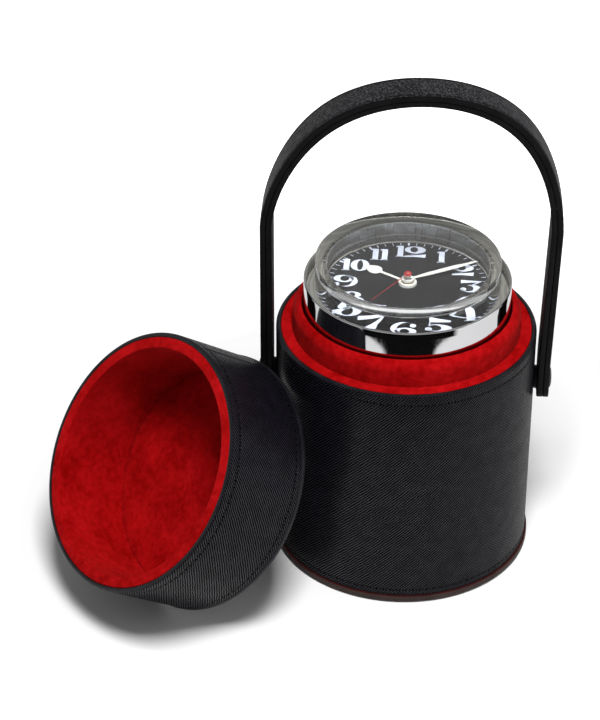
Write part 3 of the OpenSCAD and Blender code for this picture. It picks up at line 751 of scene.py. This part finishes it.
# The collar's crown is a small arc inside and an arc of radius 2w - 3t that falls away outwards from the
# fall's angle, for a lining t thick on a collar w wide. The ring and the disc have quarter circles.
def makeCaseSuede(c):
    inner, outer, low, high = upright.ring("neck_lining")
    rimIn, rimOut, rimLow, rimHigh = upright.ring("rim_ring")
    _, wide, floorLow, floorHigh = upright.ring("floor_lining")
    thick, fall = c["thick"], c["fall"]
    bend = 2 * (outer - inner) - 3 * thick
    across, up = outer - bend, high - thick - (bend - thick) * math.sin(math.radians(fall))
    tuck, under = rimHigh - c["tuck"], floorHigh - c["under"]

    def uneven(turn, r, z):
        lift = c["wave"] * softWave(turn)
        return r + lift * (z > rimHigh), z + lift * 0.6 * (z > up)

    collar = outline([outer, tuck], arc(across, up, bend, 0, fall, 12),
                     arc(inner + thick, high - thick, thick, 75, 180, 7), [inner, under],
                     [inner + thick, under], [inner + thick, high - thick],
                     arc(across, up, bend - thick, fall, 0), [outer - thick, tuck], [outer, tuck], step=2.5)
    ring = ringProfile(rimIn, rimOut, rimLow, rimHigh, c["ringSoft"], c["rimCrown"], 1)
    soft = c["floorSoft"]
    floor = outline([0, floorLow], [wide, floorLow], arc(wide - soft, floorHigh - soft, soft, 0, 90, 4),
                    [0, floorHigh], step=4)
    makeSuede("collarSuede", upright, "neck_lining", "case", collar, c["steps"], uneven)
    makeSuede("rimSuede", upright, "rim_ring", "case", ring, c["steps"])
    makeSuede("floorSuede", upright, "floor_lining", "case", floor, c["steps"] // 2)


baseShape = {"soft": 0.5, "lip": 0.9, "steps": 300}


# A disc with quarter circles of one radius at both edges; the upper one is parted at 45 degrees, because the
# painted side goes that far
def makeBase(c):
    _, wide, low, high = upright.ring("base_plate")
    soft = c["soft"]
    side = outline([0, low], arc(wide - soft, low + soft, soft, -90, 0, 6),
                   arc(wide - soft, high - soft, soft, 0, 45, 3))
    top = outline(arc(wide - soft, high - soft, soft, 45, 90, 3), [wide - soft - c["lip"], high], [0, high])
    makeTurned("baseEdgePlate", upright, "base_plate", "case",
               [(side, baseEdge), (top, baseLip)], c["steps"])


makeCaseLeather(coverShape)
makeCaseSuede(suedeShape)
makeBase(baseShape)
print("case made")

# Lid

lidEndShape = {"soft": 0.7, "rim": 2.5, "steps": 300}


# As on the case, with the quarter circle at the mouth, which is the lid's low end
def makeLidLeather(c):
    inner, outer, low, high = lidFrame.ring("lid_leather")
    edge, lip = c["edge"], c["lip"]
    rows = [low + c["rimRow"], high - c["endRow"]]
    patches, steps = leatherWall(c, lidFrame, outer, low + edge, high, rows, low + edge + 0.05)
    bevel = arc(outer - edge, low + edge, edge, -90, 0, 8)
    patches.append(revolve(bevel[4:], steps, lidFrame, blackLeather, wide=outer, start=-edge * 0.8))
    rim = outline([outer, high], [inner, high], [inner, low + lip],
                  arc(inner + lip, low + lip, lip, 180, 270, 4), bevel[:5])
    patches.append(revolve(rim, steps, lidFrame, blackEdgeAndHighlight, wide=outer))
    makePiece("lidSkin", patches, "lid", ["lid_leather"])


# A disc with quarter circles at both edges, painted round its side, lightened there as a painted highlight,
# and leather on its face
def makeLidEnd(c):
    _, wide, low, high = lidFrame.ring("lid_top")
    soft, flat = c["soft"], wide - c["rim"]
    side = outline([0, low], arc(wide - soft, low + soft, soft, -90, 0, 5),
                   arc(wide - soft, high - soft, soft, 0, 90, 5), [flat, high])
    face = outline([flat, high], [0, high], step=4)
    makeTurned("lidEndDisc", lidFrame, "lid_top", "lid",
               [(side, blackEdgeAndHighlight), (face, blackLeather)], c["steps"], flat=True)


# A thin tube whose wall waves slowly round it, the ring at its mouth and a disc with one rounded edge
def makeLidSuede(c):
    inner, outer, low, high = lidFrame.ring("lid_lining")
    mouthIn, mouthOut, mouthLow, mouthHigh = lidFrame.ring("lid_ring")
    _, wide, floorLow, floorHigh = lidFrame.ring("lid_floor")

    def uneven(turn, r, z):
        return r + c["wave"] * softWave(turn + z * 0.03) * (z > 3), z

    lining = outline([inner, high], [inner, low], [outer, low], [outer, high], [inner, high], step=2)
    ring = ringProfile(mouthIn, mouthOut, mouthHigh, mouthLow, c["ringSoft"], c["mouthCrown"], -1)
    soft = c["lidFloorSoft"]
    floor = outline([0, floorHigh], [wide, floorHigh], arc(wide - soft, floorLow + soft, soft, 0, -90, 5),
                    [0, floorLow], step=4)
    makeSuede("lidLiningSuede", lidFrame, "lid_lining", "lid", lining, c["steps"], uneven)
    makeSuede("lidMouthSuede", lidFrame, "lid_ring", "lid", ring, c["steps"])
    makeSuede("lidFloorSuede", lidFrame, "lid_floor", "lid", floor, c["steps"] * 2 // 3)


makeLidLeather(coverShape)
makeLidEnd(lidEndShape)
makeLidSuede(suedeShape)
print("lid made")

# Strap

strapShape = {"corner": 0.5, "endRound": 5.0, "knee": 10.0, "rowIn": 1.45, "strip": 0.3, "groove": 0.3,
              "grooveWide": 0.36, "crown": 0.12, "step": 0.6, "between": 0.1, "lean": 4.4, "twist": 0.9,
              "sag": 1.35, "widen": 0.17, "pinch": 0.05}


# The outer face's line: up one leg, round a half circle and down the other, cut into even steps. The soft
# arch slumps: over the share g of its height it widens by widen g^3 - pinch g and leans right by lean g^sag,
# its front edge more than its back one by the twist.
def strapLine(c):
    points = vertsOf("strap_outer")
    left, right, top = points[:, 0].min(), points[:, 0].max(), points[:, 2].max()
    bottom = points[:, 2].min()
    leg = np.abs(points[points[:, 2] < bottom + 3, 0]).max()
    middle, radius = (left + right) / 2, (right - left) / 2
    spring = top - radius
    knee = joints["handle_swing"]["pos_m"][2] / mm + c["knee"]
    line = outline([-leg, bottom], [-leg, knee], arc(middle, spring, radius, 180, 0, 160), [leg, knee],
                   [leg, bottom])
    length = np.concatenate([[0], np.cumsum(np.hypot(*np.diff(line, axis=0).T))])
    even = np.linspace(0, length[-1], int(length[-1] / c["step"]) + 1)

    def slump(p, half):
        g = np.clip((p[..., 2:] - spring) / (top - spring), 0, 1)
        aside = (c["lean"] - c["twist"] * p[..., 1:2] / half) * g ** c["sag"]
        return p + ((p[..., :1] - middle) * (c["widen"] * g ** 3 - c["pinch"] * g) + aside) * [1, 0, 0]

    x, z = np.interp(even, length, line[:, 0]), np.interp(even, length, line[:, 1])
    ahead = np.stack([np.gradient(x), np.gradient(z)], axis=1)
    ahead /= np.linalg.norm(ahead, axis=1)[:, None]
    out = np.stack([-ahead[:, 1], ahead[:, 0]], axis=1)
    return even, np.stack([x, z], axis=1), ahead, out, slump


# A rounded rectangle of the strap's width carried along the line between two depths under the outer face.
# The width draws in as a quarter circle at both ends, and the outer face has a crown and two grooves.
def strapLayer(name, c, near, far, look, node, sewn):
    even, line, ahead, out, slump = strapLine(c)
    half = np.ptp(vertsOf(node)[:, 1]) / 2
    ends = np.clip(np.minimum(even, even[-1] - even), 0, c["endRound"])
    wide = half - c["endRound"] + np.sqrt(c["endRound"] ** 2 - (c["endRound"] - ends) ** 2)
    corner = c["corner"]
    row = half - c["rowIn"]
    across = np.unique(np.concatenate([np.linspace(-half + corner, half - corner, 15),
                                       row + np.arange(-4, 5) * 0.15, -row + np.arange(-4, 5) * 0.15]))
    across = across[np.abs(across) <= half - corner]
    face = np.stack([across[::-1], np.zeros(len(across))], axis=1)
    depth = far - near
    section = outline(face, arc(-half + corner, -corner, corner, 90, 180, 4)[1:],
                      arc(-half + corner, -depth + corner, corner, 180, 270, 4),
                      arc(half - corner, -depth + corner, corner, 270, 360, 4),
                      arc(half - corner, -corner, corner, 0, 90, 4))
    q, h = section[:, 0], section[:, 1]
    onFace = (h > -1e-6) & (np.abs(q) <= half - corner + 1e-6)
    groove = (dip(q - row, c["grooveWide"]) + dip(q + row, c["grooveWide"])) * c["groove"] * sewn
    groove = groove * beat(2 * np.pi * even / thread["pitch"])[:, None]
    h = h + onFace * (c["crown"] * sewn * (1 - (q / half) ** 2) - groove)
    scale = np.clip((wide / half)[:, None], 0, 1)
    reach = h - near
    points = np.stack([line[:, :1] + out[:, :1] * reach, q * scale, line[:, 1:] + out[:, 1:] * reach], axis=2)
    points = closed(slump(points, half))
    s = np.concatenate([even[:1], even, even[-1:]])
    around = np.concatenate([[0], np.cumsum(np.hypot(*np.diff(section, axis=0).T))])
    uv = np.stack(np.broadcast_arrays(s[:, None], around), axis=2)
    marks = [int(np.abs(face[:, 0] - side * row - reach * c["strip"]).argmin())
             for side, reach in ((1, -1), (1, 1), (-1, -1), (-1, 1))]
    cuts = [0, *marks, len(face) - 1, len(section) - 1]
    looks = [look, seamBlack if sewn else look, look, seamBlack if sewn else look, look, strapEdge]
    patches = [{"points": points[:, a:b + 1] * mm, "uv": uv[:, a:b + 1], "look": skin}
               for a, b, skin in zip(cuts[:-1], cuts[1:], looks)]
    if sewn:
        at = np.arange(c["endRound"] + thread["pitch"] / 2, even[-1] - c["endRound"], thread["pitch"])

        def stitched(values, y=0.0):  # what a line has at each stitch, as x, a fixed y and z
            x, z = (np.interp(at, even, values[:, k]) for k in (0, 1))
            return np.stack([x, np.full(len(at), y), z], axis=1)

        for side in (-row, row):
            up = stitched(out)
            spot = slump(stitched(line, side) - up * (near + c["groove"] * 0.6), half)
            patches.append(sew(spot, stitched(ahead), up, thread, upright, threadBlack))
    makePiece(name, patches, "handle", [node])


def makeStrap(c):
    outerEdge = np.ptp(vertsOf("strap_outer")[:, 0]) / 2
    innerEdge = np.ptp(vertsOf("strap_inner")[:, 0]) / 2
    near = outerEdge - innerEdge
    thick = near - c["between"]
    strapLayer("strapOuterLeather", c, 0.0, thick, strapLeather, "strap_outer", 1)
    strapLayer("strapInnerLeather", c, near, near + thick, strapBack, "strap_inner", 0)


makeStrap(strapShape)
print("strap made")

# Clock

canShape = {"soft": 3.0, "thick": 1.0, "footAngle": 38.0, "footRise": 19.0, "rim": 0.42, "lip": 0.3,
            "steps": 360}


# A turned cup. Its bottom is the flat foot or the slanted one, whichever is higher: the slanted plane falls
# from the front by the tangent of its angle
def makeCan(c):
    _, wide, low, high = upright.ring("can")
    slope = math.tan(math.radians(c["footAngle"]))

    def under(turn, r, z):
        y = r * np.sin(turn)
        rise = np.maximum(0, c["footRise"] - (y + wide) * slope)
        share = np.clip((high - z) / (high - low - c["footRise"] - 6), 0, 1)
        return r, z + rise * share * share * (3 - 2 * share)

    rim, lip, soft, inner = c["rim"], c["lip"], c["soft"], wide - c["thick"]
    foot = outline([0, low], [wide - soft, low], arc(wide - soft, low + soft, soft, -90, 0, 10), step=1.5)
    wall = outline([wide, low + soft], [wide, high - rim], arc(wide - rim, high - rim, rim, 0, 90, 6), step=3)
    inside = outline([wide - rim, high], arc(inner + lip, high - lip, lip, 90, 180, 5), [inner, low + soft],
                     arc(wide - soft, low + soft, soft - c["thick"], 0, -90, 6), [0, low + c["thick"]],
                     step=1.5)
    makeTurned("canShell", upright, "can", "clock",
               [(outline(foot, wall[1:]), polishedSteel), (inside, brushedSteel)], c["steps"], under)


crystalShape = {"soft": 0.45, "solidSoft": 0.4, "hollowSoft": 0.35, "foot": 1.8, "footSoft": 0.25,
                "fillet": 0.4, "chamfer": 0.5, "sealIn": 0.1, "steps": 360}


# One turned block: a foot that fills the can's bore, a drum, and a hollow over the dial. The seal under its
# foot has a bright turned face, which the clear walls show.
def makeCrystal(c):
    _, wide, low, high = upright.ring("crystal")
    points = vertsOf("crystal")
    r = np.hypot(points[:, 0], points[:, 1])
    drum = r[points[:, 2] > high - 0.01].max() + c["solidSoft"]
    hollow = r[points[:, 2] < low + 0.01].min() - c["chamfer"]
    ceiling = points[r < hollow + 0.05, 2].max()
    _, sealWide, sealLow, sealHigh = upright.ring("dial_gasket")
    sealBore = hollow + c["sealIn"]
    ring = outline([sealBore, sealLow], [sealWide, sealLow], [sealWide, sealHigh], [sealBore, sealHigh],
                   [sealBore, sealLow])
    makeTurned("sealFacing", upright, "dial_gasket", "clock", [(ring, turnedRing)], 240)
    soft, bend, foot, blunt = c["soft"], c["fillet"], low + c["foot"], c["footSoft"]
    body = outline([hollow, low + c["chamfer"]], [hollow + c["chamfer"], low], [wide, low],
                   arc(wide - blunt, foot - blunt, blunt, 0, 90, 4),
                   arc(drum + bend, foot + bend, bend, 270, 180, 6),
                   arc(drum - soft, high - soft, soft, 0, 90, 8), [0, high])
    turn = c["hollowSoft"]
    inner = outline([0, ceiling], arc(hollow - turn, ceiling - turn, turn, 90, 0, 6),
                    [hollow, low + c["chamfer"]])
    makeTurned("crystalBlock", upright, "crystal", "clock",
               [(body, crystalClear), (inner, crystalClear)], c["steps"], sharp=50)


makeCan(canShape)
makeCrystal(crystalShape)
print("can and crystal made")

# Hands and dial print

handShape = {
    "hour_hand": {"stem": 0.6, "belly": 2.85, "shoulder": 0.56, "at": 0.71, "tip": 0.12, "power": 1.5,
                  "boss": 1.0},
    "minute_hand": {"stem": 0.6, "belly": 1.1, "shoulder": 0.1, "at": 0.6, "tip": 0.15, "power": 1.3,
                    "boss": 1.0},
    "seconds_hand": {"stem": 0.09, "belly": 0.09, "shoulder": 0.1, "at": 0.2, "tip": 0.04, "power": 1,
                     "boss": 0.8},
}


# A blade with a low crest along its own direction and a boss turned round the axis. Over the share s of its
# length the half width is the stem's, rises to the belly as a quarter circle, and then falls to the tip
# as (1 - t)^p (1 + p t)
def makeHand(name, node, look, body, c):
    points = vertsOf(node)
    r = np.hypot(points[:, 0], points[:, 1])
    length, bore = r.max(), r.min()
    ahead = points[r > length - 0.05, :2].mean(0) / length
    ahead /= np.hypot(*ahead)
    side = np.array([-ahead[1], ahead[0]])
    bladeLow, bladeHigh = (f(points[r > length * 0.6, 2]) for f in (np.min, np.max))
    low, high = points[:, 2].min(), points[:, 2].max()
    boss = r[points[:, 2] > bladeHigh + 0.01].max() * c["boss"]
    s = np.linspace(0, 1, 81)
    up = np.clip((s - c["shoulder"]) / (c["at"] - c["shoulder"]), 0, 1)
    t = np.clip((s - c["at"]) / (1 - c["at"]), 0, 1)
    rise = c["stem"] + (c["belly"] - c["stem"]) * np.sqrt(1 - (1 - up) ** 2)
    fall = c["tip"] + (c["belly"] - c["tip"]) * (1 - t) ** c["power"] * (1 + c["power"] * t)
    half = np.where(s < c["at"], rise, fall)[:, None]
    across = np.array([-1, -1, -0.45, 0, 0.45, 1, 1, -1])[None]
    level = np.array([0, 0.6, 0.92, 1, 0.92, 0.6, 0, 0])[None]
    run = (bore + (length - bore) * s)[:, None, None]
    plan = run * ahead + (half * across)[..., None] * side
    tall = np.broadcast_to(bladeLow + (bladeHigh - bladeLow) * level, plan.shape[:2])
    grid = np.concatenate([plan, tall[..., None]], axis=2)
    blade = {"points": upright.world(closed(grid)), "look": look}
    soft = 0.15
    ring = outline([bore, low], [boss, low], arc(boss - soft, high - soft, soft, 0, 90, 4),
                   arc(bore + soft, high - soft, soft, 90, 180, 4), [bore, low])
    makePiece(name, [blade, revolve(ring, 64, upright, look)], body, [node], sharp=60)


def makeHands(shapes):
    makeHand("hourHandLeaf", "hour_hand", handWhite, "hour", shapes["hour_hand"])
    makeHand("minuteHandBar", "minute_hand", handWhite, "minute", shapes["minute_hand"])
    makeHand("secondsHandSweep", "seconds_hand", handRed, "seconds", shapes["seconds_hand"])


dialPrint = {"turn": -1.8, "ring": 25.1, "tall": 8.8, "high": 0.03, "over": 0.005, "tickIn": 30.2,
             "tickOut": 32.1, "tick": 0.3, "hourTick": 0.85, "hourTickIn": 30.1}


# Heavy figures with hairlines, drawn 9 mm tall as bands between two lines: (line, line).
# An eye is the part of an ellipse's rim between it and a smaller ellipse set off centre.
def eye(x, y, wide, tall, hole, start=0, end=360):
    t = np.radians(np.linspace(start, end, 49))[:, None]
    turn = np.concatenate([np.cos(t), np.sin(t)], axis=1)
    return turn * [wide, tall] + [x, y], turn * hole[2:] + [x + hole[0], y + hole[1]]


def stem(left, right, low, high):
    return [[left, low], [left, high]], [[right, low], [right, high]]


def ball(x, y, r):
    return eye(x, y, r, r, (0, 0, 0, 0))


hook = [eye(-0.2, 4.6, 4.9, 4.5, (1.0, 0.2, 3.6, 4.1), 55, 275),
        eye(0.6, 2.8, 4.1, 2.8, (-0.4, -0.1, 1.8, 2.1)), ball(3.2, 7.2, 1.15)]
figures = {
    "0": (7.8, [eye(0, 4.5, 3.8, 4.5, (0, 0, 1.2, 4.0))]),
    "1": (3.8, [stem(-0.8, 1.5, 0, 9), stem(-1.5, 1.8, 0, 0.55),
                ([[-1.6, 7.7], [-0.7, 8.1]], [[-1.5, 8.7], [-0.7, 9]])]),
    "2": (8.8, [eye(0, 6.1, 4.3, 2.9, (-0.45, 0.15, 1.6, 2.2)),
                ([[1.2, 3.4], [-4.3, 0.6]], [[3.1, 4.1], [-3.0, 1.2]]),
                ([[-4.3, 0], [-0.5, 0.35], [4.3, 0]], [[-4.3, 0.9], [-0.5, 1.6], [4.4, 2.7]])]),
    "3": (8.8, [([[-3.8, 6.8], [0, 7.5], [4.2, 8.1]], [[-3.9, 9.2], [0, 9.0], [4.4, 8.9]]),
                ([[3.4, 8.4], [-0.4, 5.0]], [[4.3, 8.4], [0.6, 5.2]]),
                eye(0.2, 2.85, 4.1, 2.85, (-1.1, 0, 2.2, 2.3), -165, 100), ball(-2.8, 2.1, 1.2)]),
    "4": (10.4, [stem(0.9, 3.8, 0, 9), stem(-5, 5.1, 2.3, 2.8), stem(4.8, 5.2, 1.8, 3.5),
                 stem(0.1, 4.6, 0, 0.4), ([[-5, 2.5], [0.9, 9]], [[-4.1, 2.5], [1.2, 8.2]])]),
    "5": (10.2, [([[-3.3, 6.7], [0, 7.2], [4.4, 8.0]], [[-3.3, 9.2], [0, 9.1], [4.6, 9.1]]),
                 ([[-3.3, 7], [-3.6, 4.2]], [[-2.8, 7], [-3.1, 4.4]]),
                 eye(0.2, 2.9, 4.8, 2.95, (-1.4, 0, 2.4, 2.4), -165, 140), ball(-3.5, 2.0, 1.3)]),
    "6": (9.8, hook),
    "7": (10, [([[-4.9, 6.6], [0, 7.4], [4.6, 8.2]], [[-5, 9.2], [0, 9.1], [5, 9.2]]),
               ([[-2.6, 0], [0.8, 4.6], [4.1, 8.7]], [[2.1, 0], [2.6, 4.0], [4.9, 8.9]])]),
    "8": (10.4, [eye(0, 6.8, 3.7, 2.3, (0.1, 0.1, 1.4, 1.7)), eye(0, 2.7, 5.1, 2.75, (0, -0.05, 1.9, 2.1))]),
    "9": (9.6, [tuple(np.array(line) * -1 + [0, 9] for line in band) for band in hook]),
}


# A band between two lines, as a slab that is closed all round
def slab(first, second, high):
    a, b = (np.array(line, float) for line in (first, second))
    grid = np.stack([a, b, b, a, a], axis=1)
    grid = np.concatenate([grid, np.broadcast_to([[0], [0], [high], [high], [0]], (len(a), 5, 1))], axis=2)
    return closed(grid)


# The figures stand upright round the dial, a pair's widths side by side, and a tick stands at every minute
def makeDialPrint(c):
    face = upright.ring("dial")[3] + c["over"]
    east, north = heading(math.radians(c["turn"]))
    patches = []

    def lay(band, middle, right, up):
        grid = slab(*band, c["high"])
        plan = grid[..., :1] * right + grid[..., 1:2] * up + middle
        points = upright.world(np.concatenate([plan, grid[..., 2:] + face], axis=2))
        patches.append({"points": points, "look": printWhite, "whole": True})

    for hour in range(1, 13):
        t = math.radians(90 - 30 * hour)
        cells = [figures[d] for d in str(hour)]
        middle = (east * math.cos(t) + north * math.sin(t)) * c["ring"] - north * c["tall"] / 2
        x = -sum(cell[0] for cell in cells) / 2
        for cell, bands in cells:
            for band in bands:
                lay(band, middle + east * (x + cell / 2), east, north * c["tall"] / 9)
            x += cell
    for minute in range(60):
        near, half = (c["hourTickIn"], c["hourTick"] / 2) if minute % 5 == 0 else (c["tickIn"], c["tick"] / 2)
        lay(stem(near, c["tickOut"], -half, half), 0, *heading(math.radians(6 * minute)))
    makePiece("dialFigures", patches, "clock", sharp=30)


makeHands(handShape)
makeDialPrint(dialPrint)
print("hands and dial print made")
